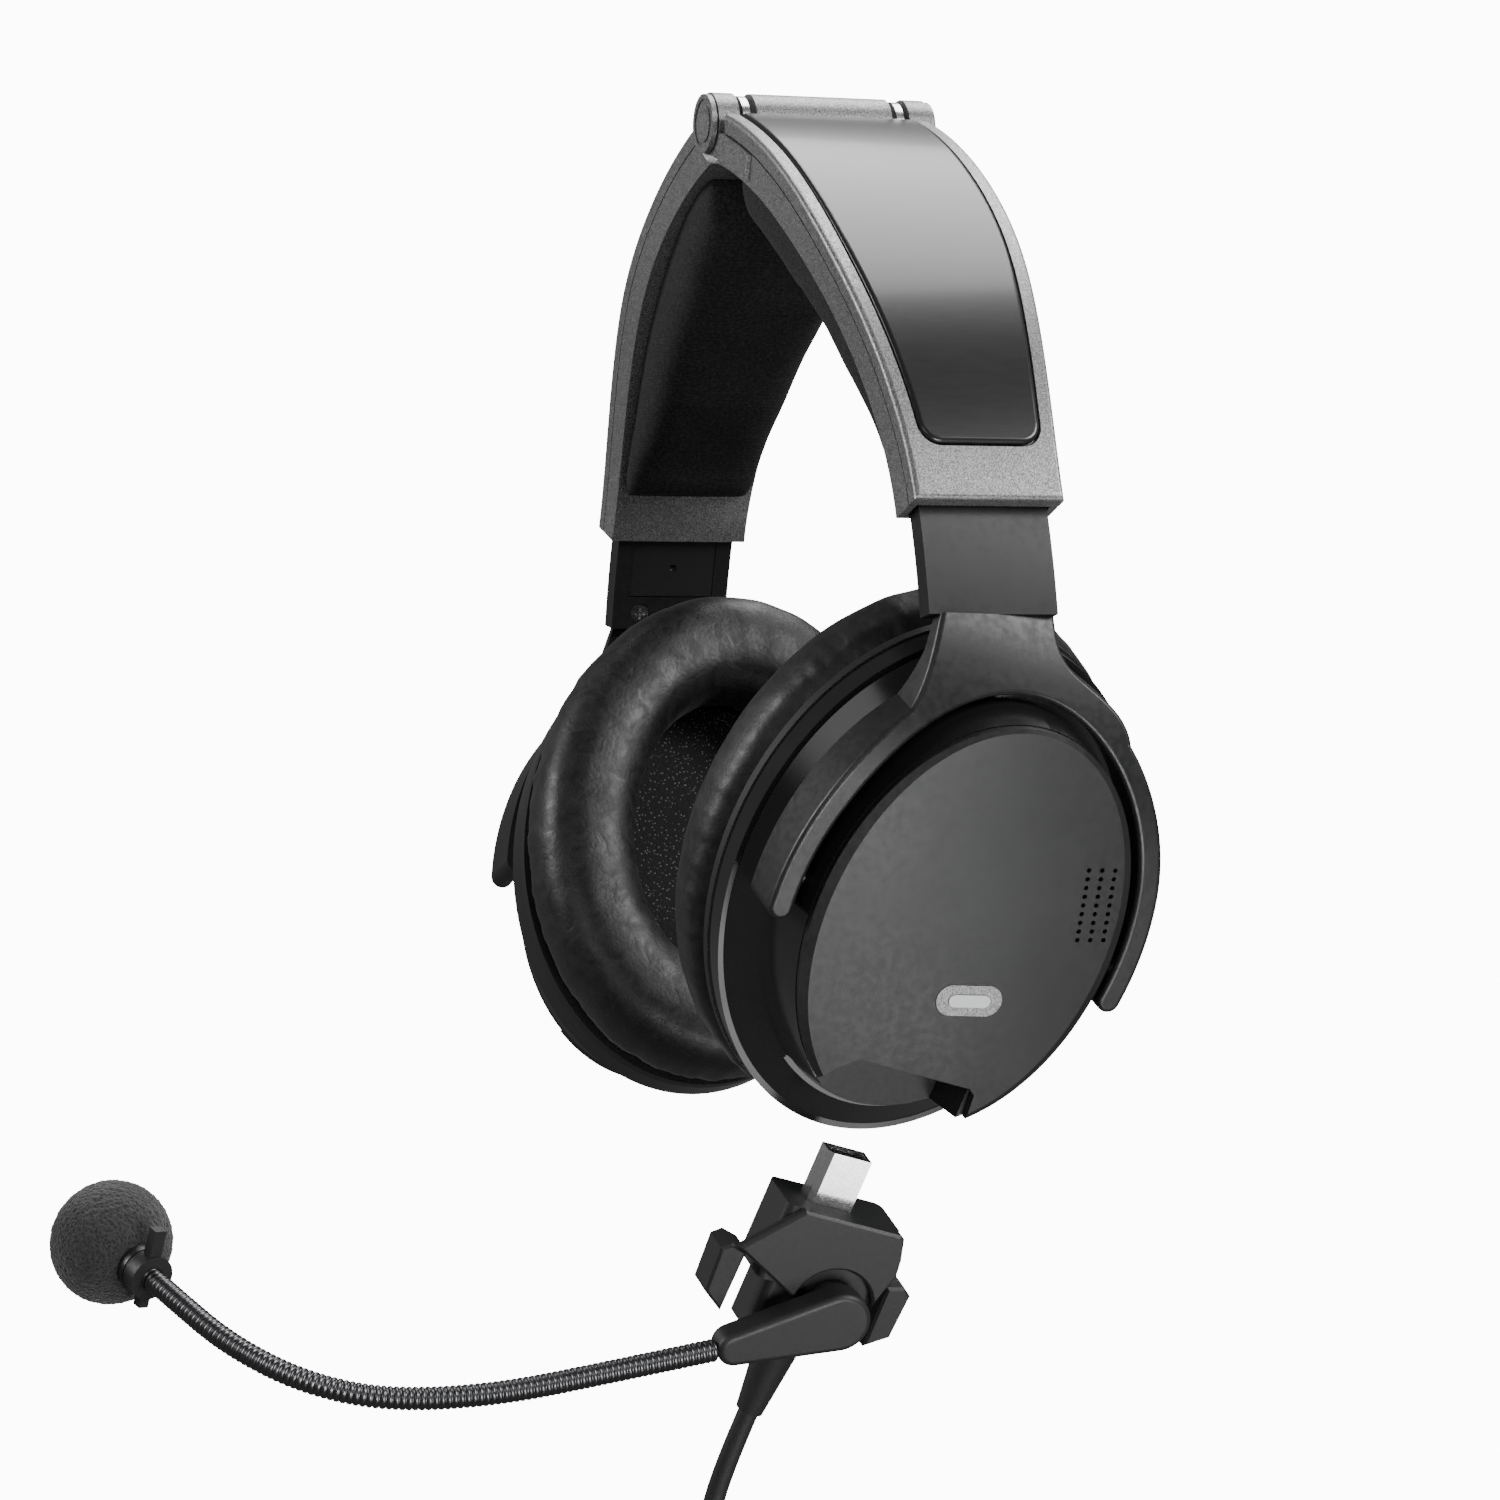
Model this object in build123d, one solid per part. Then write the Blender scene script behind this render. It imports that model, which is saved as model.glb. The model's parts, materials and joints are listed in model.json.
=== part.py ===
from build123d import *
import math
import os

os.makedirs("parts", exist_ok=True)

# Aviation headset, millimetres. +X is the wearer's left, -Y the wearer's forward and +Z up.
# The origin is the centre of the head space, midway between the two ear cups.
# A cup's own frame has x towards the rear, y up along the cup and z out of the face.

# Headband: two arms that are circular arcs, joined by a hinge at the crown.
HINGE_Z = 138.9
HINGE_LENGTH = 45.0
HINGE_R = 6.0
HINGE_RELIEF_R = 7.6
PIN_R = 2.2
ARC_X = -27.0
ARC_Z = 22.8
ARM_OUTER_R = 122.2
SHELL_INNER_R = 118.7
FRAME_OUTER_R = 118.4
FRAME_INNER_R = 112.2
ARM_END_ANGLE = 19.7
ARM_TOP_ANGLE = 78.0
ARM_WIDTHS = [(60.0, 14.6), (80.0, 15.4), (98.0, 17.7), (114.0, 19.9), (130.0, 20.9), (150.0, 22.4)]
CENTRE_KNUCKLE = 14.0
COLLAR_SPAN = (15.2, 16.7)
OUTER_KNUCKLE = (17.6, 21.9)

# Slider: a band concentric with the arm, which telescopes into it.
SLIDER_OUTER_R = 118.2
SLIDER_INNER_R = 113.7
SLIDER_HALF_WIDTH = 12.5
SLIDER_SEAM_ANGLE = 10.0
SLIDER_TOP_ANGLE = 44.0
POCKET_HALF_WIDTH = 13.0
POCKET_TOP_ANGLE = 52.5

# Ear cup: place and lean of its face.
CUP_CENTRE = (48.0, -2.07, 0.0)
CUP_TILT = math.radians(16.6)
CUP_CANT = math.radians(20.98)
CUP_TOE = math.radians(1.81)
CUSHION_UP, CUSHION_ACROSS = 51.6, 39.7
CUSHION_BACK, CUSHION_FRONT = -11.0, 9.0
EAR_UP, EAR_ACROSS = 30.0, 19.5
RING_BACK, RING_FRONT = 9.2, 11.4
BEZEL_FRONT = 17.3
HOUSING_BACK, SHOULDER, HOUSING_FRONT = 17.5, 22.5, 37.0
PLATE_UP, PLATE_ACROSS = 40.0, 29.6
PLATE_TOP = 40.0
PLATE_DOME_R = 700.0
VENT_PLACE = Pos(21.6, 12.0, 36.5) * Rot(0, 0, 15)

# Yoke: a fork that carries the cup on two pivots.
YOKE_FRONT, YOKE_BACK = 36.0, 24.8
YOKE_INNER_UP, YOKE_INNER_ACROSS = 42.8, 32.4
YOKE_OUTER_UP, YOKE_OUTER_ACROSS = 47.3, 36.9
YOKE_BEND_START = 15.0
YOKE_BEND_R = 65.4
YOKE_ARM_END = -6.0
PIVOT_UP, PIVOT_OUT = -1.0, 30.0
PIVOT_R = 1.8
RUNNING_GAP = 0.05

# Microphone module, drawn unplugged below the left cup. It slides this far to plug in.
PLUG_TRAVEL = 30.0
PLUG_LEAN = math.radians(2.6)
BOSS_X, BOSS_Y = 5.6, -76.3
BOOM_BACK, BOOM_FRONT = 40.6, 45.6
SLEEVE_X, SLEEVE_Y = -12.0, -86.4

# Cable: a lead, a stored coil, a tail and a round connector.
CABLE_D = 4.0
CABLE_RUN_SHARE = 0.45
RELIEF_TOP, RELIEF_END = -86.0, -102.0
RELIEF_X, RELIEF_OUT = 1.7, 33.0
COIL_CENTRE = (35.0, -7.5, -165.0)
COIL_R = 23.0
COIL_HALF_RADIAL = 7.0
COIL_HALF_WIDTH = 6.6
TAIL_X, TAIL_Y = 27.0, -25.0
CONNECTOR_TOP = -207.0
BARREL_R = 5.9


def cup_plane():
    """Frame of the left cup: x rearward, y up along the cup, z out of its face."""
    out = Vector(
        math.cos(CUP_CANT) * math.cos(CUP_TOE),
        -math.cos(CUP_CANT) * math.sin(CUP_TOE),
        -math.sin(CUP_CANT),
    )
    upright = Vector(
        math.sin(CUP_CANT) * math.cos(CUP_TOE),
        -math.sin(CUP_CANT) * math.sin(CUP_TOE),
        math.cos(CUP_CANT),
    )
    rear = Vector(math.sin(CUP_TOE), math.cos(CUP_TOE), 0)
    across = rear * math.cos(CUP_TILT) - upright * math.sin(CUP_TILT)
    return Plane(origin=CUP_CENTRE, x_dir=across, z_dir=out)


CUP = cup_plane()


def save(name, shape):
    export_step(shape, f"parts/{name}.step")


def save_pair(name, shape):
    """Write a left-hand piece and its mirror image."""
    save(f"left_{name}", shape)
    save(f"right_{name}", mirror(shape, about=Plane.YZ))


def save_on_cups(name, shape):
    save_pair(name, shape.moved(CUP.location))


def group(*solids):
    return Compound(children=[solid for item in solids for solid in item.solids()])


# ---- headband ----

def sector(inner_r, outer_r, start, end, half_width):
    """Arc-shaped slab about the left arm's centre."""
    outer = CenterArc((ARC_X, ARC_Z), outer_r, start, end - start)
    inner = CenterArc((ARC_X, ARC_Z), inner_r, start, end - start)
    face = make_face([outer, Line(outer @ 1, inner @ 1), inner, Line(inner @ 0, outer @ 0)])
    return extrude(Plane.XZ * face, half_width, both=True)


def round_arc_edges(solid, radius, size):
    """Round the edges of the outermost arc surface of a slab."""
    faces = [face for face in solid.faces().filter_by(GeomType.CYLINDER) if abs(face.radius - radius) < 0.01]
    edges = ShapeList(edge for face in faces for edge in face.edges())
    return fillet(edges, size)


def width_prism(inset=0.0, low=50.0, high=150.0, corner=0.0):
    """The arm's outline seen along X, as a prism that trims a slab to width."""
    right = Spline([(w - inset, z) for z, w in ARM_WIDTHS])
    left = Spline([(inset - w, z) for z, w in ARM_WIDTHS])
    face = make_face([right, Line(right @ 1, left @ 1), left, Line(left @ 0, right @ 0)])
    window = Pos(0, (low + high) / 2) * Rectangle(60, high - low)
    face = face & window
    if corner:
        face = fillet(face.vertices(), corner)
    return extrude(Plane.YZ * face, 130)


def hinge_rod(radius, low, high):
    """Cylinder on the hinge axis between two places along Y."""
    return Pos(0, (low + high) / 2, HINGE_Z) * Rot(90, 0, 0) * Cylinder(radius, high - low)


def arm_shell():
    shell = sector(SHELL_INNER_R, ARM_OUTER_R, ARM_END_ANGLE, ARM_TOP_ANGLE, 30) & width_prism()
    recess = sector(ARM_OUTER_R - 1.3, ARM_OUTER_R + 2, 20, 74.5, 30) & width_prism(3.0, 73.6, 150, 4.3)
    shell = round_arc_edges(shell, ARM_OUTER_R, 0.9)
    return shell - recess - hinge_rod(HINGE_RELIEF_R, -30, 30)


def arm_panel():
    panel = sector(ARM_OUTER_R - 1.2, ARM_OUTER_R + 0.5, 20, 74.0, 30) & width_prism(3.3, 73.9, 149, 4.0)
    panel = round_arc_edges(panel, ARM_OUTER_R + 0.5, 0.9)
    return panel - hinge_rod(HINGE_RELIEF_R + 1, -30, 30)


def arm_frame(knuckles):
    """Inner half of an arm: a channel for the slider, and its share of the hinge barrel."""
    frame = sector(FRAME_INNER_R, FRAME_OUTER_R, ARM_END_ANGLE, ARM_TOP_ANGLE, 30) & width_prism()
    frame -= sector(FRAME_INNER_R + 1.3, FRAME_OUTER_R + 1, 10, POCKET_TOP_ANGLE, POCKET_HALF_WIDTH)
    frame -= hinge_rod(HINGE_RELIEF_R, -30, 30)
    web_angle = math.degrees(math.atan2(HINGE_Z - ARC_Z, -ARC_X))
    for low, high in knuckles:
        web = sector(FRAME_INNER_R + 1.2, FRAME_OUTER_R, 66, web_angle, 30)
        web &= Pos(0, (low + high) / 2, HINGE_Z) * Box(60, high - low, 60)
        frame += web + hinge_rod(HINGE_R, low, high)
    return frame - hinge_rod(PIN_R + RUNNING_GAP, -30, 30)


def head_pad():
    """Wedge cushion on the inside of an arm."""
    places = [(25.0, 107.5), (40.0, 100.2), (56.0, 98.8), (71.5, 102.5)]
    inner = Spline([
        (ARC_X + r * math.cos(math.radians(a)), ARC_Z + r * math.sin(math.radians(a))) for a, r in places
    ])
    outer = CenterArc((ARC_X, ARC_Z), FRAME_INNER_R - 0.3, places[0][0], places[-1][0] - places[0][0])
    face = make_face([inner, Line(inner @ 1, outer @ 1), outer, Line(outer @ 0, inner @ 0)])
    return extrude(Plane.XZ * face, 30, both=True) & width_prism(1.6)


def hinge_hardware():
    """Pin, bright washers between the knuckles, and end caps with a turned groove."""
    half = HINGE_LENGTH / 2
    save("hinge_pin", hinge_rod(PIN_R, -half + 0.5, half - 0.5))
    collars = [hinge_rod(HINGE_R - 0.5, *sorted((s * COLLAR_SPAN[0], s * COLLAR_SPAN[1]))) for s in (-1, 1)]
    bore = hinge_rod(PIN_R, -half, half)
    save("hinge_collars", group(*[collar - bore for collar in collars]))
    caps = []
    for side in (-1, 1):
        cap = hinge_rod(HINGE_R - 0.3, *sorted((side * 22.1, side * 23.1))) - bore
        groove = hinge_rod(4.6, *sorted((side * 22.8, side * 23.6)))
        groove -= hinge_rod(3.6, *sorted((side * 22.7, side * 23.7)))
        caps.append(cap - groove)
    save("hinge_caps", group(*caps))


def headband():
    save_pair("arm_shell", arm_shell())
    save_pair("arm_panel", arm_panel())
    low, high = OUTER_KNUCKLE
    save("left_arm_frame", arm_frame([(low, high), (-high, -low)]))
    save("right_arm_frame", mirror(arm_frame([(-CENTRE_KNUCKLE, CENTRE_KNUCKLE)]), about=Plane.YZ))
    save_pair("head_pad", head_pad())
    hinge_hardware()


# ---- slider and yoke ----

def on_slider(angle, radius, y):
    """Place a piece on the slider, with its z axis pointing outwards from the arc centre."""
    a = math.radians(angle)
    point = (ARC_X + radius * math.cos(a), y, ARC_Z + radius * math.sin(a))
    return Plane(origin=point, x_dir=(0, 1, 0), z_dir=(math.cos(a), 0, math.sin(a))).location


def slider():
    band = sector(SLIDER_INNER_R, SLIDER_OUTER_R, SLIDER_SEAM_ANGLE, SLIDER_TOP_ANGLE, SLIDER_HALF_WIDTH)
    band -= sector(SLIDER_INNER_R - 1, SLIDER_INNER_R + 1.1, 13.4, 31.6, 9.1)
    cover = sector(SLIDER_INNER_R + 0.1, SLIDER_INNER_R + 1.0, 13.5, 31.5, 9.0)
    for angle in (16.5, 20.0, 23.5):
        cover -= on_slider(angle, SLIDER_INNER_R, 0) * Sphere(0.8)
    screws = []
    for y in (-6.5, 6.5):
        band -= on_slider(11.6, SLIDER_INNER_R + 1.4, y) * Cylinder(2.1, 3.0)
        head = on_slider(11.6, SLIDER_INNER_R + 1.5, y) * Cylinder(2.0, 2.6)
        slot = Box(2.4, 0.6, 1.2) + Box(0.6, 2.4, 1.2)
        screws.append(head - on_slider(11.6, SLIDER_INNER_R + 0.3, y) * slot)
    save_pair("slider", band)
    save_pair("slider_cover", cover)
    save_pair("slider_screws", group(*screws))


def yoke_outline():
    """The fork seen square to the cup's face, running on past the seam for trimming."""
    ring = Ellipse(YOKE_OUTER_ACROSS, YOKE_OUTER_UP) - Pos(0, YOKE_ARM_END - 50) * Rectangle(120, 100)
    rear = Spline([(-2.6, 66), (-0.5, 57.5), (2.7, 50.6), (8.4, 47.6), (20, 39.5)])
    front = Spline([(-20.4, 62), (-23.0, 49.5), (-24.0, 38.0), (-29.0, 28.0)])
    stem = make_face([rear, Line(rear @ 1, front @ 1), front, Line(front @ 0, rear @ 0)])
    outer_x = YOKE_OUTER_ACROSS * math.sqrt(1 - (YOKE_ARM_END / YOKE_OUTER_UP) ** 2)
    inner_x = YOKE_INNER_ACROSS * math.sqrt(1 - (YOKE_ARM_END / YOKE_INNER_UP) ** 2)
    outline = ring + stem
    for side in (-1, 1):
        outline += Pos(side * (outer_x + inner_x) / 2, YOKE_ARM_END) * Circle((outer_x - inner_x) / 2)
    return outline - Ellipse(YOKE_INNER_ACROSS, YOKE_INNER_UP)


def yoke_side():
    """The fork seen from the front of the cup: a flat plate that bends in towards the slider."""
    bend_out = YOKE_FRONT - YOKE_BEND_R
    outer = CenterArc((YOKE_BEND_START, bend_out), YOKE_BEND_R, 90, -44)
    inner = Spline([(66, 7.2), (58.0, 16.6), (51.0, 21.6), (44.0, YOKE_BACK)])
    flat = Polyline([inner @ 1, (-12, YOKE_BACK), (-12, YOKE_FRONT), outer @ 0])
    face = make_face([outer, Line(outer @ 1, inner @ 0), inner, flat])
    # Drawn with x as up the cup and y as out of it, then stood across the fork.
    stand = Plane(origin=(0, 0, 0), x_dir=(0, 1, 0), z_dir=(1, 0, 0))
    return extrude(stand * face, 60, both=True)


def yoke_front_edges(fork):
    """The long edges around the fork's outward face, flat part and bend alike."""
    flats = fork.faces().filter_by(lambda face: abs(face.center().Z - YOKE_FRONT) < 0.01)
    bends = [f for f in fork.faces().filter_by(GeomType.CYLINDER) if abs(f.radius - YOKE_BEND_R) < 0.01]
    edges = [edge for face in [*flats, *bends] for edge in face.edges()]
    return ShapeList(edge for edge in edges if edge.geom_type != GeomType.LINE and edge.length > 20)


def yoke():
    fork = extrude(yoke_outline(), 60) & yoke_side()
    fork = fillet(yoke_front_edges(fork), 0.9).moved(CUP.location)
    seam = math.radians(SLIDER_SEAM_ANGLE)
    across = Vector(math.cos(seam), 0, math.sin(seam))
    seam_plane = Plane(origin=(ARC_X, 0, ARC_Z), x_dir=across, z_dir=(-math.sin(seam), 0, math.cos(seam)))
    fork -= seam_plane.location * Pos(100, 0, 50) * Box(300, 300, 100)
    holes = yoke_pivot(-1) + yoke_pivot(1)
    save_pair("yoke", fork - holes)
    save_pair("yoke_pivots", group(yoke_pivot(-1), yoke_pivot(1)))


def yoke_pivot(side):
    pin = Pos(side * 31.4, PIVOT_UP, PIVOT_OUT) * Rot(0, 90, 0) * Cylinder(PIVOT_R, 6.4)
    return pin.moved(CUP.location)


# ---- ear cups ----

def oval(up, across, back, front):
    return Pos(0, 0, back) * extrude(Ellipse(across, up), front - back)


def ear_cushion():
    ring = oval(CUSHION_UP, CUSHION_ACROSS, CUSHION_BACK, CUSHION_FRONT)
    ring -= oval(EAR_UP, EAR_ACROSS, CUSHION_BACK - 1, CUSHION_FRONT + 1)
    return chamfer(ring.edges().filter_by(GeomType.ELLIPSE), 3.5)


def housing_loft(inset, back, front):
    """Solid with the housing's outer form, drawn in by an inset."""
    sections = [
        Pos(0, 0, back) * Ellipse(37.0 - inset, 48.5 - inset),
        Pos(0, 0, SHOULDER - inset * 0.5) * Ellipse(31.6 - inset, 42.0 - inset),
        Pos(0, 0, front) * Ellipse(PLATE_ACROSS + 0.2 - inset, PLATE_UP + 0.2 - inset),
    ]
    return loft(sections, ruled=True)


def housing(with_bay):
    shell = housing_loft(0, HOUSING_BACK, HOUSING_FRONT)
    shell -= housing_loft(1.8, HOUSING_BACK, HOUSING_FRONT - 1.8)
    for side in (-1, 1):
        shell -= Pos(side * 31, PIVOT_UP, PIVOT_OUT) * Rot(0, 90, 0) * Cylinder(PIVOT_R + RUNNING_GAP, 8)
    shell -= VENT_PLACE * Box(7.0, 15.8, 1.2)
    return shell - bay_block() if with_bay else shell


def bay_block():
    """The room that the microphone module's socket takes out of the housing."""
    return Pos(0.4, -40.4, 31.0) * Box(31.2, 33.6, 18.2)


def socket():
    """Bay with the connector that the module slides up into."""
    block = Pos(0.4, -34.2, 30.1) * Box(31.0, 21.0, 13.4)
    block &= housing_loft(0.2, HOUSING_BACK, HOUSING_FRONT)
    block -= Pos(0.6, -38.2, 31.3) * Box(27.4, 20.4, 14.0)
    return block - Pos(-1.35, -28, 30.8) * Box(9.8, 25, 5.6)


def cutout_prism():
    """The faceplate's opening around the module, as a prism along z."""
    outline = make_face(Polyline(
        (-9.6, -28.2), (-13.2, -31.2), (-16.9, -35.4), (-26.0, -44.0), (17.0, -44.0),
        (15.4, -34.8), (14.7, -29.2), (13.4, -28.2), close=True,
    ))
    return Pos(0, 0, 30) * extrude(outline, 15)


def faceplate(with_button):
    plate = oval(PLATE_UP, PLATE_ACROSS, HOUSING_FRONT + 0.05, PLATE_TOP)
    plate = chamfer(plate.faces().sort_by(Axis.Z)[-1].edges(), length=1.5, length2=2.8)
    plate &= Pos(0, 0, PLATE_TOP - PLATE_DOME_R) * Rot(90, 0, 0) * Sphere(PLATE_DOME_R)
    for row in range(9):
        for column in range(3):
            plate -= VENT_PLACE * Pos((column - 1) * 2.6, (row - 4) * 1.7, 3) * Cylinder(0.45, 8)
    if with_button:
        plate -= button_place() * slot_pocket()
    return plate - cutout_prism()


def button_place():
    return Pos(5.5, -11.8, PLATE_TOP - 0.15) * Rot(0, 0, 14)


def slot_pocket():
    return Pos(0, 0, -1.2) * extrude(SlotOverall(12.9, 6.2), 2)


def button_parts():
    """Oval bezel with a light bar that is pressed like a key."""
    bezel = Pos(0, 0, -1.15) * extrude(SlotOverall(12.7, 6.0), 1.35)
    bezel -= Pos(0, 0, -2) * extrude(SlotOverall(8.2, 2.6), 4)
    key = Pos(0, 0, -0.3) * extrude(SlotOverall(8.0, 2.4), 0.8)
    save("button_bezel", (button_place() * bezel).moved(CUP.location))
    save("button_key", (button_place() * key).moved(CUP.location))


def cup_insides():
    """Baffle with its driver, and the cloth scrim over them."""
    baffle = oval(44.0, 32.5, 12.0, 14.5) - Pos(0, 0, 10) * extrude(Circle(19.0), 6)
    driver = Pos(0, 0, 12.0) * extrude(Circle(18.9), 5.2)
    driver += Pos(0, 0, 17.2) * extrude(Circle(12.0), 6)
    save_on_cups("baffle", baffle)
    save_on_cups("driver", driver)
    save_on_cups("scrim", oval(EAR_UP + 2, EAR_ACROSS + 2, 9.3, 10.3))


def vent_mesh():
    """Fine mesh strip behind the faceplate's vent holes, set into the housing."""
    return VENT_PLACE * Box(6.8, 15.6, 0.9)


def ear_cups():
    save_on_cups("ear_cushion", ear_cushion())
    ring = oval(50.2, 38.3, RING_BACK, RING_FRONT) - oval(36.0, 24.5, RING_BACK - 1, RING_FRONT + 1)
    save_on_cups("cushion_ring", ring)
    bezel = oval(49.8, 38.0, RING_FRONT + 0.1, BEZEL_FRONT) - oval(45.0, 33.5, RING_FRONT - 1, BEZEL_FRONT + 1)
    save_on_cups("bezel_ring", bezel)
    save("left_housing", housing(True).moved(CUP.location))
    save("right_housing", mirror(housing(False).moved(CUP.location), about=Plane.YZ))
    save("left_faceplate", faceplate(True).moved(CUP.location))
    save("right_faceplate", mirror(faceplate(False).moved(CUP.location), about=Plane.YZ))
    save("left_socket", socket().moved(CUP.location))
    cover = cutout_prism() & oval(PLATE_UP, PLATE_ACROSS, HOUSING_FRONT + 0.05, PLATE_TOP - 0.8)
    save("right_socket_cover", mirror(cover.moved(CUP.location), about=Plane.YZ))
    save_on_cups("vent_mesh", vent_mesh())
    button_parts()
    cup_insides()


# ---- microphone module, drawn unplugged ----

def module_front():
    """Silver six-sided plate that lies flush with the faceplate when plugged in."""
    outline = make_face(Polyline(
        (-7.0, -59.1), (-13.4, -65.8), (-16.6, -69.2), (-3.0, -75.8), (12.8, -75.6),
        (15.4, -67.0), (15.0, -63.8), (13.8, -59.6), (13.0, -59.1), close=True,
    ))
    plate = Pos(0, 0, 37.4) * extrude(outline - Pos(BOSS_X, BOSS_Y) * Circle(7.9), 2.0)
    return chamfer(plate.faces().sort_by(Axis.Z)[-1].edges(), 0.5)


def module_body():
    block = Pos(2.0, -67.0, 31.0) * Box(23.6, 15.2, 12.6)
    block += Pos(2.0, -79.75, 30.8) * Box(18.0, 12.5, 11.0)
    block = fillet(block.edges().filter_by(Axis.Y), 1.8)
    block += Pos(BOSS_X, BOSS_Y, 38.3) * Cylinder(5.0, 4.4)
    return block - Pos(BOSS_X, BOSS_Y, 38.3) * Cylinder(2.06, 5.2)


def module_plug():
    """Flat rectangular plug with one bevelled corner and a hollow mouth."""
    shell = Pos(0, -54.2, 30.8) * Box(8.8, 10.3, 4.6)
    corner = shell.edges().filter_by(Axis.Y).sort_by(lambda edge: edge.center().X - edge.center().Z)[0]
    shell = chamfer(corner, 1.0)
    mouth = Pos(0, -50.5, 30.8) * Box(7.4, 5.0, 3.2)
    tongue = Pos(0, -51.6, 30.8) * Box(5.6, 3.0, 1.0)
    return shell - mouth + tongue


def strain_relief():
    """Tapered sleeve where the cable leaves the module."""
    stand = Plane(origin=(RELIEF_X, RELIEF_TOP, RELIEF_OUT), x_dir=(1, 0, 0), z_dir=(0, -1, 0))
    length = RELIEF_TOP - RELIEF_END
    return stand.location * Pos(0, 0, length / 2) * Cone(4.4, 2.6, length)


def latch(side):
    """Blade-shaped squeeze paddle beside the module, hinged at its upper end."""
    blade = make_face(Polyline(
        (19.9, -71.0), (18.1, -69.6), (14.8, -70.4), (15.0, -82.9), (19.4, -79.9), close=True,
    ))
    paddle = extrude(blade, 7.0)
    paddle = chamfer(paddle.faces().sort_by(Axis.Z)[-1].edges(), 0.5)
    if side < 0:
        paddle = mirror(paddle, about=Plane.YZ)
    return (Pos(1.0, 0, 30.2) * paddle).moved(CUP.location)


def sleeve_direction():
    return Vector(SLEEVE_X - BOSS_X, SLEEVE_Y - BOSS_Y, 0).normalized()


def boom_elbow():
    """Teardrop arm that turns on the module's boss and grips the gooseneck."""
    rounds = (Pos(BOSS_X, BOSS_Y) * Circle(5.8)).edges() + (Pos(SLEEVE_X, SLEEVE_Y) * Circle(3.3)).edges()
    arm = Pos(0, 0, BOOM_BACK) * extrude(make_hull(rounds), BOOM_FRONT - BOOM_BACK)
    arm = fillet(arm.faces().sort_by(Axis.Z)[-1].edges(), 1.2)
    pin = Pos(BOSS_X, BOSS_Y, BOOM_BACK - 1.8) * Cylinder(2.0, 4.0)
    return arm + pin


def rounded_route(points):
    """A path of straight runs joined by tangent arcs, each as large as its two runs allow."""
    vectors = [Vector(*point) for point in points]
    radii = []
    for before, corner, after in zip(vectors, vectors[1:], vectors[2:]):
        turn = (corner - before).get_angle(after - corner)
        run = min((corner - before).length, (after - corner).length)
        radii.append(CABLE_RUN_SHARE * run / math.tan(math.radians(turn / 2)))
    print("radii", [round(radius, 1) for radius in radii])
    return FilletPolyline(*vectors, radius=radii)


def tube(path, diameter):
    section = Plane(origin=path @ 0, z_dir=path % 0) * Circle(diameter / 2)
    solid = sweep(section, path=path)
    print("tube volume", round(solid.volume, 1), "expected", round(path.length * math.pi * diameter**2 / 4, 1))
    return solid


def neck_points():
    start = sleeve_direction() * 3.45 + Vector(SLEEVE_X, SLEEVE_Y, (BOOM_BACK + BOOM_FRONT) / 2)
    first = CUP.from_local_coords(start)
    return [
        tuple(first), (60.5, -64.5, -93.4), (62.5, -85.0, -96.0), (60.5, -104.5, -96.4), (54.0, -118.0, -93.4),
        (43.5, -128.5, -87.6), (31.0, -135.0, -80.8), (20.0, -138.8, -76.0),
    ]


def boom():
    save("boom_elbow", boom_elbow().moved(CUP.location))
    path = rounded_route(neck_points())
    save("gooseneck", tube(path, 4.3))
    tip = path @ 1
    stand = Plane(origin=tip, x_dir=(0, 0, 1), z_dir=path % 1)
    ring = Cylinder(4.3, 3.2) - Cylinder(2.15, 4)
    clip = ring + Pos(6.6, 0, 0) * Box(5.4, 2.4, 2.2) + Pos(-5.0, 0, 0) * Box(2.6, 2.0, 2.0)
    save("mic_clip", stand.location * Pos(0, 0, -1.7) * clip)
    save("mic_capsule", stand.location * Pos(0, 0, 6.1) * Cylinder(4.4, 12))
    foam = Pos(0, 0, 11.4) * Sphere(11.2) - Pos(0, 0, 5.1) * Cylinder(4.5, 14.2)
    save("windscreen", stand.location * foam)


def mic_module():
    save("module_front", module_front().moved(CUP.location))
    save("module_body", module_body().moved(CUP.location))
    save("module_plug", module_plug().moved(CUP.location))
    save("strain_relief", strain_relief().moved(CUP.location))
    save("latch_front", latch(-1))
    save("latch_rear", latch(1))
    boom()


# ---- cable ----

def cable_lead_points():
    start = CUP.from_local_coords(Vector(RELIEF_X, RELIEF_END, RELIEF_OUT))
    ahead = CUP.from_local_coords(Vector(RELIEF_X, RELIEF_END - 10, RELIEF_OUT))
    return [
        tuple(start), tuple(ahead), (35.4, -34.6, -123.5), (32.6, -35.6, -138.0), (30.8, -35.5, -152.0),
        (30.6, -35.5, -166.0),
    ]


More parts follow.
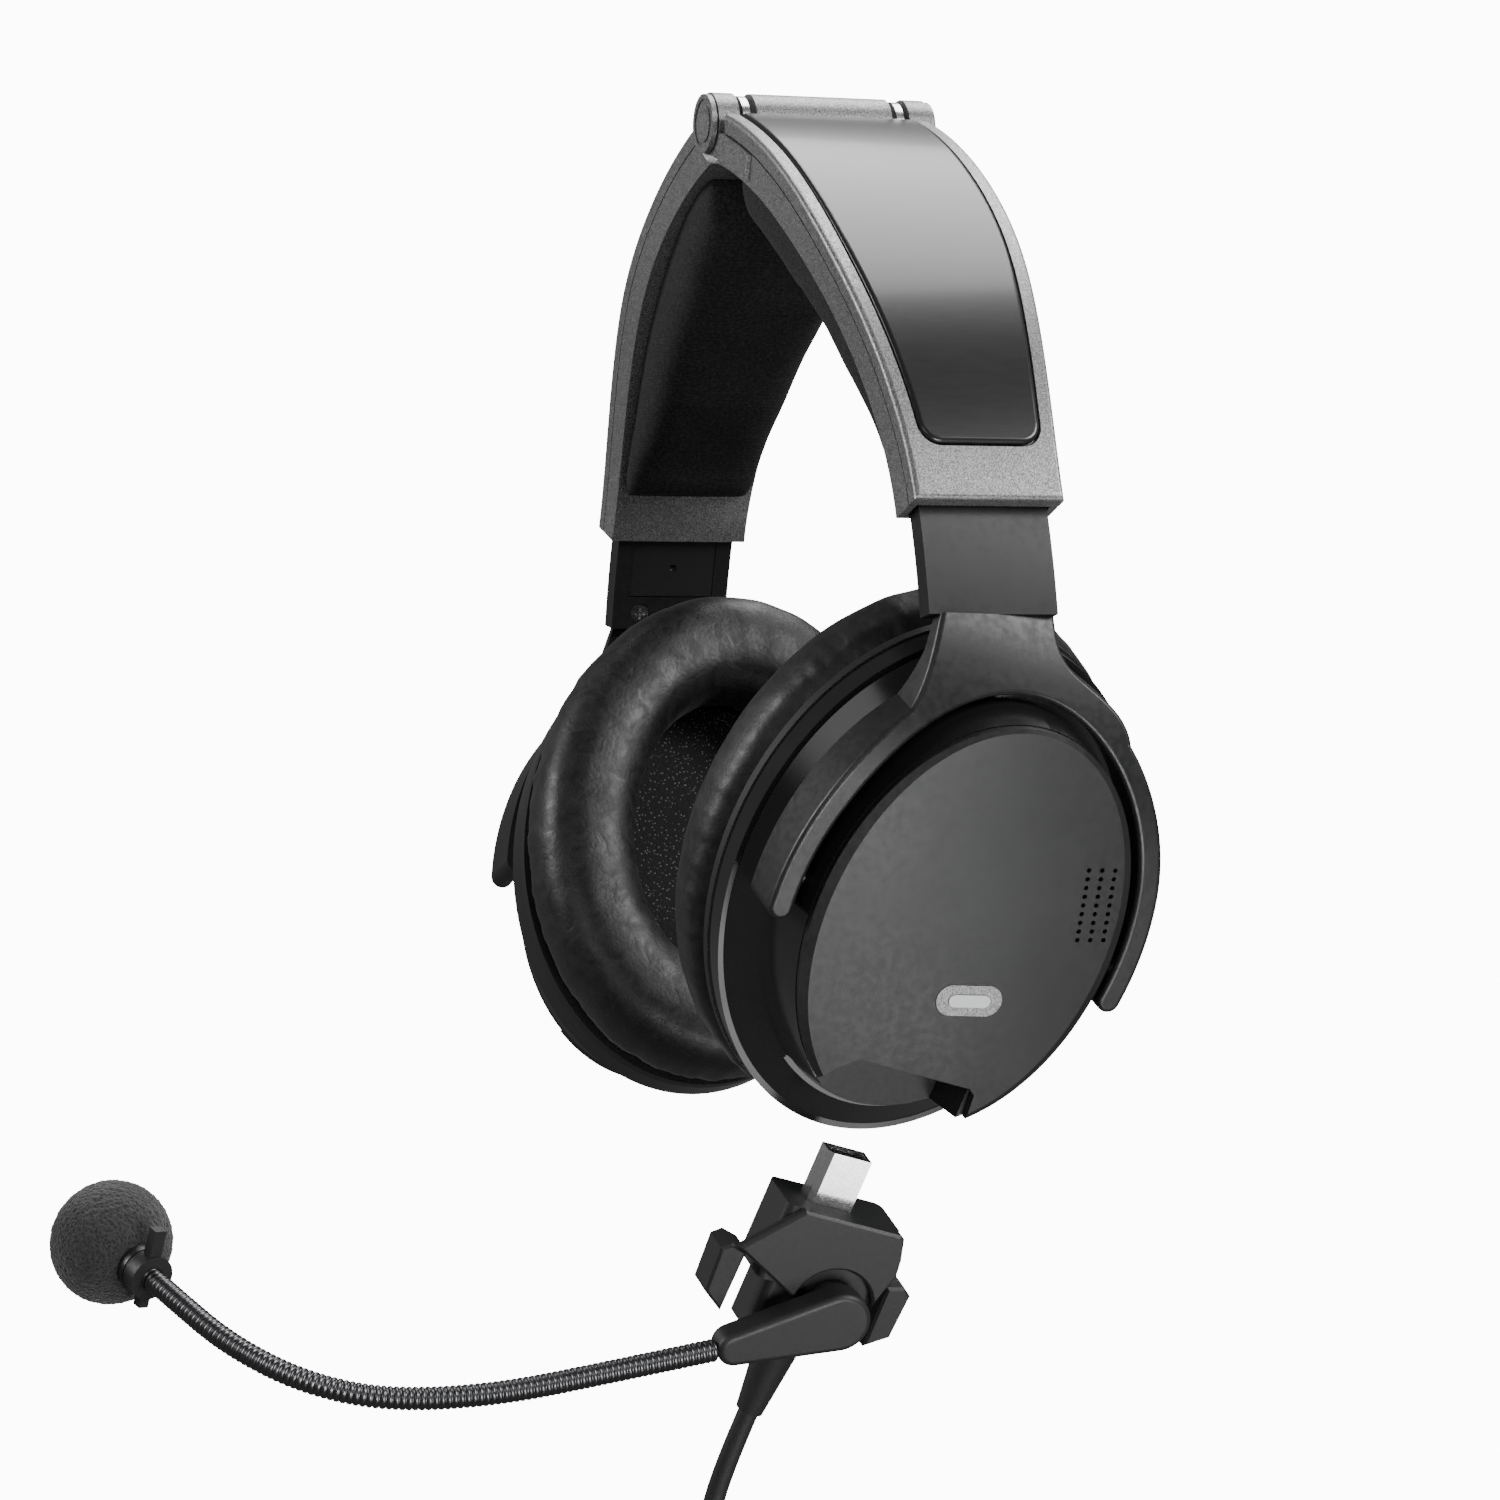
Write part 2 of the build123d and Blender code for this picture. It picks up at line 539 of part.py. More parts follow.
def cable():
    lead = rounded_route(cable_lead_points())
    save("cable_lead", tube(lead, CABLE_D))
    stand = Plane(origin=COIL_CENTRE, x_dir=(0, 1, 0), z_dir=(1, 0, 0)).location
    ring = Cylinder(COIL_R + COIL_HALF_RADIAL, 2 * COIL_HALF_WIDTH)
    ring -= Cylinder(COIL_R - COIL_HALF_RADIAL, 4 * COIL_HALF_WIDTH)
    save("cable_coil", stand * chamfer(ring.edges().filter_by(GeomType.CIRCLE), 3.0))
    sleeve = Box(5.0, 2 * COIL_HALF_RADIAL + 2.4, 2 * COIL_HALF_WIDTH + 2.4)
    sleeve -= Box(6.0, 2 * COIL_HALF_RADIAL + 0.8, 2 * COIL_HALF_WIDTH + 0.8)
    save("coil_tie", stand * Pos(0, COIL_R, 0) * fillet(sleeve.edges().filter_by(Axis.X), 0.5))
    tail = Line((TAIL_X, TAIL_Y, COIL_CENTRE[2] - 8), (TAIL_X, TAIL_Y, CONNECTOR_TOP))
    save("cable_tail", tube(tail, CABLE_D))
    connector(Pos(TAIL_X, TAIL_Y, CONNECTOR_TOP))


def connector(place):
    """Round six-pin connector that hangs with its pins down."""
    shell = Pos(0, 0, -3) * Cone(7.2, 3.4, 6)
    shell += Pos(0, 0, -13) * Cylinder(7.2, 14)
    shell += Pos(0, 0, -26) * Cylinder(BARREL_R, 12)
    shell -= Pos(0, 0, -27) * Cylinder(BARREL_R - 1.0, 10.2)
    for step in range(12):
        shell -= Rot(0, 0, step * 30) * Pos(7.4, 0, -12) * Cylinder(0.6, 9)
    save("connector_shell", place * shell)
    pins = Pos(0, 0, -22.9) * Cylinder(BARREL_R - 1.05, 1.8)
    for step in range(6):
        pins += Rot(0, 0, step * 60) * Pos(2.9, 0, -26.6) * Cylinder(0.6, 7)
    save("connector_pins", place * pins)


headband()
slider()
yoke()
ear_cups()
mic_module()
cable()
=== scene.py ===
import json
import math

import bmesh
import bpy
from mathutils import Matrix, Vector, noise


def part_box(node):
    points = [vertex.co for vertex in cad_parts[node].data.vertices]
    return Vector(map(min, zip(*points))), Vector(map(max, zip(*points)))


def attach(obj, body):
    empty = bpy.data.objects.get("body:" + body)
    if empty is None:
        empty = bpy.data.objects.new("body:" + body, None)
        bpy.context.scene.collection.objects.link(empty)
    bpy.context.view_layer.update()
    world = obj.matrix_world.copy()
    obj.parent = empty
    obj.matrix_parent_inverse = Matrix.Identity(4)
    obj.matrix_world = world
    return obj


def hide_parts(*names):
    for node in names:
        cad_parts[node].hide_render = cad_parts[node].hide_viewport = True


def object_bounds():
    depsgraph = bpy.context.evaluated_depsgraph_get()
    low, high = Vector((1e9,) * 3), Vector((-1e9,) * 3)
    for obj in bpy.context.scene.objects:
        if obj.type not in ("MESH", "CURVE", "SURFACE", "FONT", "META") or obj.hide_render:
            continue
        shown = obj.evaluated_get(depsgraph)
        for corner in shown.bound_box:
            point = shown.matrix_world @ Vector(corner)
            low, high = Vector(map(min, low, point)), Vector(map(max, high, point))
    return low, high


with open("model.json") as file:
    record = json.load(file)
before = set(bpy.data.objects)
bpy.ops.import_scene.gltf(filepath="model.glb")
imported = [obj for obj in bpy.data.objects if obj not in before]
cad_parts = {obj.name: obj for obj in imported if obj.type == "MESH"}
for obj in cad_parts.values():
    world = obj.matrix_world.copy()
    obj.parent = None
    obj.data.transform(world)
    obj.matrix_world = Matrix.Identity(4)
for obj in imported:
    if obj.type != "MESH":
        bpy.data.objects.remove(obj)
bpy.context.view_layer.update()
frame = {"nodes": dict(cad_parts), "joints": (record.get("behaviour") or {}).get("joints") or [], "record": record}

MM = 0.001
JOINTS = {joint["name"]: joint for joint in frame["joints"]}

# Headband arcs and cushion sizes, in millimetres, as the frame was built.
ARC_X, ARC_Z = -27.0, 22.8
FRAME_INNER_R = 112.2
PAD_PLACES = [(25.0, 107.5), (40.0, 100.2), (56.0, 98.8), (71.5, 102.5)]
ARM_HALF_WIDTHS = [(60.0, 14.6), (80.0, 15.4), (98.0, 17.7), (114.0, 19.9), (130.0, 20.9), (150.0, 22.4)]
CUSHION_UP, CUSHION_ACROSS = 51.6, 39.7
CUSHION_BACK, CUSHION_FRONT = -11.0, 9.0
EAR_UP, EAR_ACROSS = 30.0, 19.5
CUP_OFFSET_OUT, CUP_OFFSET_UP = 30, 1
NECK_ROUTE = [
    (60.5, -64.5, -93.4), (62.5, -85.0, -96.0), (60.5, -104.5, -96.4), (54.0, -118.0, -93.4),
    (43.5, -128.5, -87.6), (31.0, -135.0, -80.8), (20.0, -138.8, -76.0),
]
NECK_R = 2.15
NECK_PITCH = 1.15
NECK_POINTS_PER_RIB = 8

# Cable: the route to the coil, the coil's layers and the tail. A coil slot is a place across
# and out from the coil's centre, and a change from one to the next takes COIL_CHANGE degrees.
CABLE_D = 4.0
LEAD_ROUTE = [(35.4, -34.6, -123.5), (32.6, -35.6, -138.0), (30.8, -35.5, -152.0)]
COIL_CENTRE = (35.0, -7.5, -165.0)
COIL_SLOTS = [
    (-4.3, 28.0), (0.0, 28.0), (4.3, 28.0), (2.15, 24.5), (-2.15, 24.5),
    (-4.3, 21.0), (0.0, 21.0), (4.3, 21.0), (2.15, 17.5), (-2.15, 17.5), (-8.3, 17.8),
]
COIL_SHIFTS = [30, 30, 90, 150, 210, 270, 270, 330, 390, 395]
COIL_STEPS = 24
COIL_TURNS = 9
COIL_CHANGE = 52
TAIL_ROUTE = [(26.8, -25.2, -176.0), (27.0, -25.0, -190.0), (27.0, -25.0, -207.0)]

# Studio: how bright the backdrop looks, and how much of it lights the object.
BACKDROP_STRENGTH = 12.0
FILL_STRENGTH = 0.13


# ---- places ----

def cup_frame():
    """Origin and axes of the left cup: x rearward, y up the cup, z out of its face."""
    out = -Vector(JOINTS["button_press"]["axis"])
    forward = Vector(JOINTS["pivot_left"]["axis"])
    up = forward.cross(out)
    origin = Vector(JOINTS["pivot_left"]["pos_m"]) - out * CUP_OFFSET_OUT * MM + up * CUP_OFFSET_UP * MM
    return origin, -forward, up, out


CUP_ORIGIN, CUP_X, CUP_Y, CUP_Z = cup_frame()


def on_cup(x, y, z, side=1):
    """A point in a cup's own millimetres as a point in the frame; side -1 is the right cup."""
    point = CUP_ORIGIN + (CUP_X * x + CUP_Y * y + CUP_Z * z) * MM
    return Vector((point.x * side, point.y, point.z))


def in_metres(points):
    return [tuple(value * MM for value in point) for point in points]


# ---- camera and studio ----

def add_camera():
    data = bpy.data.cameras.new("camera")
    data.sensor_width = 36
    data.lens = 130.73
    data.clip_start = 0.05
    camera = bpy.data.objects.new("camera", data)
    bpy.context.scene.collection.objects.link(camera)
    place = Vector((0.98787, -0.38046, 0.02945))
    target = Vector((-0.00455, -0.01168, 0.01811))
    camera.location = place
    camera.rotation_euler = (target - place).to_track_quat("-Z", "Y").to_euler()
    bpy.context.scene.camera = camera


def add_light(name, place, size, power, target=(0, 0, 0.02)):
    data = bpy.data.lights.new(name, "AREA")
    data.shape = "SQUARE"
    data.size = size
    data.energy = power
    lamp = bpy.data.objects.new(name, data)
    lamp.location = place
    lamp.rotation_euler = (Vector(target) - Vector(place)).to_track_quat("-Z", "Y").to_euler()
    bpy.context.scene.collection.objects.link(lamp)


def brighten_for_camera(tree, strength):
    """A white backdrop to the eye that only gives the object a soft, dim fill."""
    path = tree.nodes.new("ShaderNodeLightPath")
    scale = tree.nodes.new("ShaderNodeMapRange")
    scale.inputs["To Min"].default_value = FILL_STRENGTH
    scale.inputs["To Max"].default_value = BACKDROP_STRENGTH
    tree.links.new(path.outputs["Is Camera Ray"], scale.inputs["Value"])
    tree.links.new(scale.outputs["Result"], strength)


def add_studio():
    world = bpy.data.worlds.new("studio")
    bpy.context.scene.world = world
    world.use_nodes = True
    tree = world.node_tree
    tree.nodes["Background"].inputs["Color"].default_value = (1, 1, 1, 1)
    brighten_for_camera(tree, tree.nodes["Background"].inputs["Strength"])
    mesh = bpy.data.meshes.new("studio_floor")
    half = 6.0
    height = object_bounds()[0][2] - 0.01
    corners = [(-half, -half, height), (half, -half, height), (half, half, height), (-half, half, height)]
    mesh.from_pydata(corners, [], [(0, 1, 2, 3)])
    floor = bpy.data.objects.new("studio_floor", mesh)
    bpy.context.scene.collection.objects.link(floor)
    white = plain("studio_white", (0, 0, 0), 1.0, Emission_Color=(1, 1, 1, 1))
    brighten_for_camera(white.node_tree, white.node_tree.nodes["Principled BSDF"].inputs["Emission Strength"])
    floor.data.materials.append(white)
    add_light("overhead", (-0.25, 0.3, 0.95), 0.7, 11)
    add_light("key", (0.75, 0.75, 0.65), 0.5, 11)
    add_light("front", (1.1, -0.9, 0.35), 0.6, 2.5)
    add_light("rim", (-0.4, -1.0, 0.5), 0.5, 8)
    add_light("low_front", (0.44, 0.0, -0.2), 0.2, 1.6, target=(0.09, 0, 0))
    add_light("low_plug", (0.25, 0.06, -0.22), 0.08, 0.1, target=(0.06, -0.02, -0.09))


# ---- materials ----

def plain(name, colour, roughness, metallic=0.0, **settings):
    """A Principled material. Other shader sockets are set by name, with _ for a space."""
    material = bpy.data.materials.new(name)
    material.use_nodes = True
    shader = material.node_tree.nodes["Principled BSDF"]
    shader.inputs["Base Color"].default_value = (*colour, 1)
    shader.inputs["Roughness"].default_value = roughness
    shader.inputs["Metallic"].default_value = metallic
    for key, value in settings.items():
        shader.inputs[key.replace("_", " ")].default_value = value
    return material


def add_node(material, kind, inputs=None, **properties):
    node = material.node_tree.nodes.new(kind)
    for key, value in properties.items():
        setattr(node, key, value)
    for key, value in (inputs or {}).items():
        if hasattr(value, "is_output"):
            material.node_tree.links.new(value, node.inputs[key])
        else:
            node.inputs[key].default_value = value
    return node


def object_coords(material, scale=(1, 1, 1)):
    source = add_node(material, "ShaderNodeTexCoord").outputs["Object"]
    mapping = add_node(material, "ShaderNodeMapping", {"Vector": source, "Scale": scale})
    return mapping.outputs["Vector"]


def noise_field(material, scale, detail=2.0, stretch=(1, 1, 1), distortion=0.0):
    inputs = {"Vector": object_coords(material, stretch), "Scale": scale, "Detail": detail}
    inputs["Distortion"] = distortion
    return add_node(material, "ShaderNodeTexNoise", inputs).outputs["Fac"]


def cell_field(material, scale):
    inputs = {"Vector": object_coords(material), "Scale": scale}
    return add_node(material, "ShaderNodeTexVoronoi", inputs).outputs["Distance"]


def spread(material, field, low, high, to_low, to_high):
    inputs = {"Value": field, "From Min": low, "From Max": high, "To Min": to_low, "To Max": to_high}
    return add_node(material, "ShaderNodeMapRange", inputs).outputs["Result"]


def vary_colour(material, field, dark, light, low=0.35, high=0.65):
    amount = spread(material, field, low, high, 0.0, 1.0)
    mix = add_node(material, "ShaderNodeMix", data_type="RGBA")
    material.node_tree.links.new(amount, mix.inputs["Factor"])
    mix.inputs[6].default_value = (*dark, 1)
    mix.inputs[7].default_value = (*light, 1)
    shader = material.node_tree.nodes["Principled BSDF"]
    material.node_tree.links.new(mix.outputs[2], shader.inputs["Base Color"])


def vary_roughness(material, field, smooth, rough, low=0.35, high=0.65):
    shader = material.node_tree.nodes["Principled BSDF"]
    result = spread(material, field, low, high, smooth, rough)
    material.node_tree.links.new(result, shader.inputs["Roughness"])


def add_bump(material, field, depth, strength=1.0):
    """Add a bump of this depth in millimetres on top of any bump already there."""
    shader = material.node_tree.nodes["Principled BSDF"]
    inputs = {"Height": field, "Distance": depth * MM, "Strength": strength}
    bump = add_node(material, "ShaderNodeBump", inputs)
    if shader.inputs["Normal"].links:
        material.node_tree.links.new(shader.inputs["Normal"].links[0].from_socket, bump.inputs["Normal"])
    material.node_tree.links.new(bump.outputs["Normal"], shader.inputs["Normal"])


def flecked_silver():
    material = plain("flecked_silver", (0.3, 0.3, 0.3), 0.42, 0.7)
    flecks = noise_field(material, 3400, 3)
    vary_colour(material, flecks, (0.15, 0.15, 0.152), (0.4, 0.4, 0.405), 0.38, 0.66)
    vary_roughness(material, noise_field(material, 1500), 0.34, 0.5)
    add_bump(material, flecks, 0.05, 0.5)
    return material


def satin_black():
    material = plain("satin_black", (0.012, 0.012, 0.013), 0.4, 0.0)
    vary_roughness(material, noise_field(material, 700, 3), 0.34, 0.44)
    vary_colour(material, noise_field(material, 60, 2), (0.010, 0.010, 0.011), (0.016, 0.016, 0.017))
    add_bump(material, noise_field(material, 4200, 2), 0.012, 0.35)
    return material


def brushed_inlay():
    """Black inlay with fine brush lines across the headband."""
    material = plain("brushed_inlay", (0.012, 0.012, 0.013), 0.26, 0.0, Coat_Weight=0.25, Coat_Roughness=0.12)
    lines = noise_field(material, 5200, 1, (1, 0.03, 1))
    vary_roughness(material, lines, 0.29, 0.31)
    vary_colour(material, lines, (0.010, 0.010, 0.011), (0.013, 0.013, 0.014))
    add_bump(material, lines, 0.0005, 0.1)
    return material


def gloss_black():
    material = plain("gloss_black", (0.014, 0.014, 0.015), 0.16)
    vary_roughness(material, noise_field(material, 90, 3), 0.13, 0.2)
    add_bump(material, noise_field(material, 250, 2), 0.01, 0.15)
    return material


def moulded_black():
    material = plain("moulded_black", (0.014, 0.014, 0.015), 0.5)
    grain = noise_field(material, 3200, 3)
    vary_roughness(material, grain, 0.42, 0.56)
    add_bump(material, grain, 0.02, 0.5)
    return material


def protein_leather():
    """Soft black leatherette with small cells and longer creases."""
    material = plain("protein_leather", (0.009, 0.0085, 0.0085), 0.44, Sheen_Weight=0.05, Sheen_Roughness=0.4)
    cells = cell_field(material, 1100)
    creases = noise_field(material, 260, 5, distortion=1.2)
    vary_colour(material, creases, (0.006, 0.006, 0.006), (0.012, 0.0115, 0.0115))
    vary_roughness(material, creases, 0.4, 0.54)
    add_bump(material, cells, 0.05, 0.5)
    add_bump(material, creases, 0.22, 0.55)
    return material


def ribbed_fabric():
    """Black woven pad cloth with fine ribs running across the band."""
    material = plain("ribbed_fabric", (0.012, 0.012, 0.0125), 0.9, Sheen_Weight=0.04, Sheen_Roughness=0.5)
    coords = object_coords(material)
    wave = add_node(
        material, "ShaderNodeTexWave", {"Vector": coords, "Scale": 520, "Distortion": 1.5, "Detail": 1},
        bands_direction="Z",
    ).outputs["Fac"]
    threads = noise_field(material, 1500, 2)
    vary_colour(material, threads, (0.003, 0.003, 0.003), (0.026, 0.026, 0.0265), 0.35, 0.7)
    add_bump(material, wave, 0.1, 0.5)
    add_bump(material, threads, 0.12, 0.7)
    return material


def speckled_scrim():
    material = plain("speckled_scrim", (0.01, 0.01, 0.01), 0.85)
    holes = cell_field(material, 1300)
    vary_colour(material, holes, (0.16, 0.16, 0.165), (0.004, 0.004, 0.004), 0.12, 0.3)
    add_bump(material, holes, 0.2, 0.8)
    return material


def sponge_foam():
    material = plain("sponge_foam", (0.012, 0.012, 0.012), 0.98, Sheen_Weight=0.2, Sheen_Roughness=0.6)
    pores = cell_field(material, 1500)
    vary_colour(material, pores, (0.002, 0.002, 0.002), (0.035, 0.035, 0.036), 0.1, 0.45)
    add_bump(material, pores, 0.35, 0.9)
    return material


def metal(name, colour, roughness, grain=1800, depth=0.006):
    material = plain(name, colour, roughness, 1.0)
    field = noise_field(material, grain, 2)
    vary_roughness(material, field, roughness * 0.85, roughness * 1.2)
    add_bump(material, field, depth, 0.3)
    return material


def soft_rubber(name):
    material = plain(name, (0.013, 0.013, 0.014), 0.55)
    grain = noise_field(material, 2600, 2)
    vary_roughness(material, grain, 0.48, 0.62)
    add_bump(material, grain, 0.015, 0.5)
    return material


def light_bar():
    material = plain("light_bar", (0.62, 0.63, 0.64), 0.32, Coat_Weight=0.3)
    vary_roughness(material, noise_field(material, 1400), 0.28, 0.4)
    return material


def dress_nodes():
    """Give every CAD node its finish."""
    finishes = {
        "shell_silver": flecked_silver(), "plate_black": satin_black(), "inlay_black": brushed_inlay(),
        "housing_gloss": gloss_black(), "module_black": moulded_black(), "ear_leather": protein_leather(),
        "pad_fabric": ribbed_fabric(), "scrim_cloth": speckled_scrim(), "foam_black": sponge_foam(),
        "bright_metal": metal("bright_metal", (0.85, 0.85, 0.86), 0.2),
        "slider_steel": metal("slider_steel", (0.12, 0.12, 0.125), 0.34),
        "gunmetal": metal("gunmetal", (0.12, 0.12, 0.125), 0.3),
        "rubber_black": soft_rubber("rubber_black"), "cable_jacket": soft_rubber("cable_jacket"),
        "speaker_grey": plain("speaker_grey", (0.02, 0.02, 0.02), 0.7), "light_bar": light_bar(),
    }
    for part in frame["record"]["subparts"]:
        mesh = frame["nodes"][part["node"]].data
        mesh.materials.clear()
        mesh.materials.append(finishes[part["material_slot"]])
    return finishes


# ---- mesh helpers ----

def mesh_object(name, rows, material, closed=True):
    """Skin rings of points. closed joins the last ring to the first; otherwise the ends are capped."""
    vertices = [point for row in rows for point in row]
    count = len(rows[0])
    faces = []
    for i in range(len(rows) - (0 if closed else 1)):
        following = (i + 1) % len(rows)
        for j in range(count):
            after = (j + 1) % count
            faces.append((i * count + j, following * count + j, following * count + after, i * count + after))
    if not closed:
        faces.append(tuple(range(count))[::-1])
        faces.append(tuple(range((len(rows) - 1) * count, len(rows) * count)))
    mesh = bpy.data.meshes.new(name)
    mesh.from_pydata(vertices, [], faces)
    work = bmesh.new()
    work.from_mesh(mesh)
    bmesh.ops.recalc_face_normals(work, faces=work.faces)
    work.to_mesh(mesh)
    work.free()
    mesh.polygons.foreach_set("use_smooth", [True] * len(mesh.polygons))
    mesh.materials.append(material)
    piece = bpy.data.objects.new(name, mesh)
    bpy.context.scene.collection.objects.link(piece)
    return piece


def spline_object(name, points):
    """An open NURBS curve with these control points, in metres."""
    data = bpy.data.curves.new(name, "CURVE")
    data.dimensions = "3D"
    data.resolution_u = 12
    spline = data.splines.new("NURBS")
    spline.points.add(len(points) - 1)
    for place, point in zip(spline.points, points):
        place.co = (*point, 1)
    spline.order_u = 3
    spline.use_endpoint_u = True
    curve = bpy.data.objects.new(name, data)
    bpy.context.scene.collection.objects.link(curve)
    return curve


def spline_points(points, spacing):
    """Evenly spaced points along the NURBS curve through a route."""
    guide = spline_object("guide", points)
    guide.data.resolution_u = 64
    bpy.context.view_layer.update()
    mesh = bpy.data.meshes.new_from_object(guide)
    line = [vertex.co.copy() for vertex in mesh.vertices]
    bpy.data.meshes.remove(mesh)
    bpy.data.objects.remove(guide)
    even = [line[0]]
    carried = 0.0
    for before, after in zip(line, line[1:]):
        step = (after - before).length
        while step > 0 and carried + step >= spacing:
            before = before.lerp(after, (spacing - carried) / step)
            even.append(before.copy())
            step = (after - before).length
            carried = 0.0
        carried += step
    return even


def sweep_rows(points, radii, sides):
    """Circles of the given radii, square to a line of points."""
    rows = []
    normal = (points[1] - points[0]).orthogonal().normalized()
    for i, point in enumerate(points):
        ahead = points[min(i + 1, len(points) - 1)] - points[max(i - 1, 0)]
        ahead.normalize()
        normal = (normal - ahead * normal.dot(ahead)).normalized()
        side = ahead.cross(normal)
        turns = [2 * math.pi * k / sides for k in range(sides)]
        rows.append([point + (normal * math.cos(a) + side * math.sin(a)) * radii[i] for a in turns])
    return rows


# ---- soft pieces ----

def ear_cushion(side, material):
    """Puffed oval ring of leather, with gathers where it is pulled over its rear edge."""
    name = "left" if side > 0 else "right"
    middle = (CUSHION_BACK + CUSHION_FRONT) / 2
    half = (CUSHION_FRONT - CUSHION_BACK) / 2
    rows = []
    around, section = 320, 44
    for i in range(around):
        t = 2 * math.pi * i / around
        row = []
        for j in range(section):
            s = 2 * math.pi * j / section
            c, d = math.cos(s), math.sin(s)
            across = math.copysign(abs(c) ** 0.8, c)
            along = math.copysign(abs(d) ** 0.72, d)
            share = 0.5 + 0.5 * across
            height = middle + half * along
            tuck = max(0.0, (height - 4.5) / 4.5) * max(0.0, across)
            share -= 0.1 * tuck
            reach_up = EAR_UP + (CUSHION_UP - EAR_UP) * share
            reach_across = EAR_ACROSS + (CUSHION_ACROSS - EAR_ACROSS) * share
            gather = max(0.0, across) * max(0.0, 1 - abs(height - 3.0) / 9.0)
            ripple = noise.noise(Vector((math.cos(t) * 13, math.sin(t) * 13, height * 0.05 + side)))
            ripple += 0.6 * noise.noise(Vector((math.cos(t) * 27, math.sin(t) * 27, height * 0.1)))
            crease = noise.noise(Vector((math.cos(t) * 7, math.sin(t) * 7, share * 5 + side * 3)))
            swell = 0.45 * gather * ripple + 0.22 * crease
            x = (reach_across + swell * across) * math.sin(t)
            y = (reach_up + swell * across) * math.cos(t)
            row.append(on_cup(x, y, height + swell * along * 0.8, side))
        rows.append(row)
    cushion = mesh_object(f"{name}_ear_pad", rows, material)
    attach(cushion, f"{name}_cup")
    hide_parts(f"{name}_ear_cushion")


def pad_inner_radius(angle):
    """Smooth curve through the pad's places, as the radius at an angle."""
    for (a0, r0), (a1, r1) in zip(PAD_PLACES, PAD_PLACES[1:]):
        if angle <= a1:
            f = (angle - a0) / (a1 - a0)
            ease = f * f * (3 - 2 * f) * 0.5 + f * 0.5
            return r0 + (r1 - r0) * ease
    return PAD_PLACES[-1][1]


def arm_half_width(z):
    """Half the arm's width at a height."""
    for (z0, w0), (z1, w1) in zip(ARM_HALF_WIDTHS, ARM_HALF_WIDTHS[1:]):
        if z <= z1:
            return w0 + (w1 - w0) * max(0.0, z - z0) / (z1 - z0)
    return ARM_HALF_WIDTHS[-1][1]


def head_pad(side, material):
    """Bevelled wedge of ribbed cloth under one arm of the headband."""
    name = "left" if side > 0 else "right"
    low, high = PAD_PLACES[0][0], PAD_PLACES[-1][0]
    steps, section = 120, 48
    rows = []
    for i in range(steps + 1):
        angle = low + (high - low) * i / steps
        inner = pad_inner_radius(angle)
        outer = FRAME_INNER_R - 0.25
        a = math.radians(angle)
        from_end = min(angle - low, high - angle) * math.pi / 180 * inner
        fade = max(0.02, 1 - max(0.0, 1 - from_end / 7.0) ** 2.6) ** 0.55
        depth = (outer - inner) * fade
        half = arm_half_width(ARC_Z + inner * math.sin(a)) - 1.4 - 1.2 * (1 - fade)
        row = []
        for j in range(section + 1):
            s = math.pi * j / section
            c, d = math.cos(s), math.sin(s)
            y = half * math.copysign(abs(c) ** 0.42, c)
            lift = depth * d ** 0.5
            soft = 0.35 * noise.noise(Vector((angle * 0.25, y * 0.12, side * 4.0))) * d
            r = outer - lift - soft
            x = (ARC_X + r * math.cos(a)) * side
            row.append(Vector((x, y, ARC_Z + r * math.sin(a))) * MM)
        rows.append(row)
    pad = mesh_object(f"{name}_pad_cloth", rows, material, closed=False)
    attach(pad, f"{name}_arm")
    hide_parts(f"{name}_head_pad")


def foam_ball(material):
    """Sponge windscreen: an oblate ball pulled in where it grips the capsule."""
    low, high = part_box("windscreen")
    centre = (Vector(low) + Vector(high)) / 2
    along = (centre - Vector([(a + b) / 2 for a, b in zip(*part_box("mic_clip"))])).normalized()
    work = bmesh.new()
    bmesh.ops.create_icosphere(work, subdivisions=6, radius=1)
    for vertex in work.verts:
        direction = vertex.co.normalized()
        pole = direction.dot(along)
        radius = 11.5 - 1.2 * pole * pole
        radius += 0.28 * noise.noise(direction * 26) + 0.12 * noise.noise(direction * 60)
        vertex.co = centre + direction * radius * MM
    mesh = bpy.data.meshes.new("mic_foam")
    work.to_mesh(mesh)
    work.free()
    mesh.polygons.foreach_set("use_smooth", [True] * len(mesh.polygons))
    mesh.materials.append(material)
    foam = bpy.data.objects.new("mic_foam", mesh)
    bpy.context.scene.collection.objects.link(foam)
    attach(foam, "boom")
    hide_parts("windscreen")


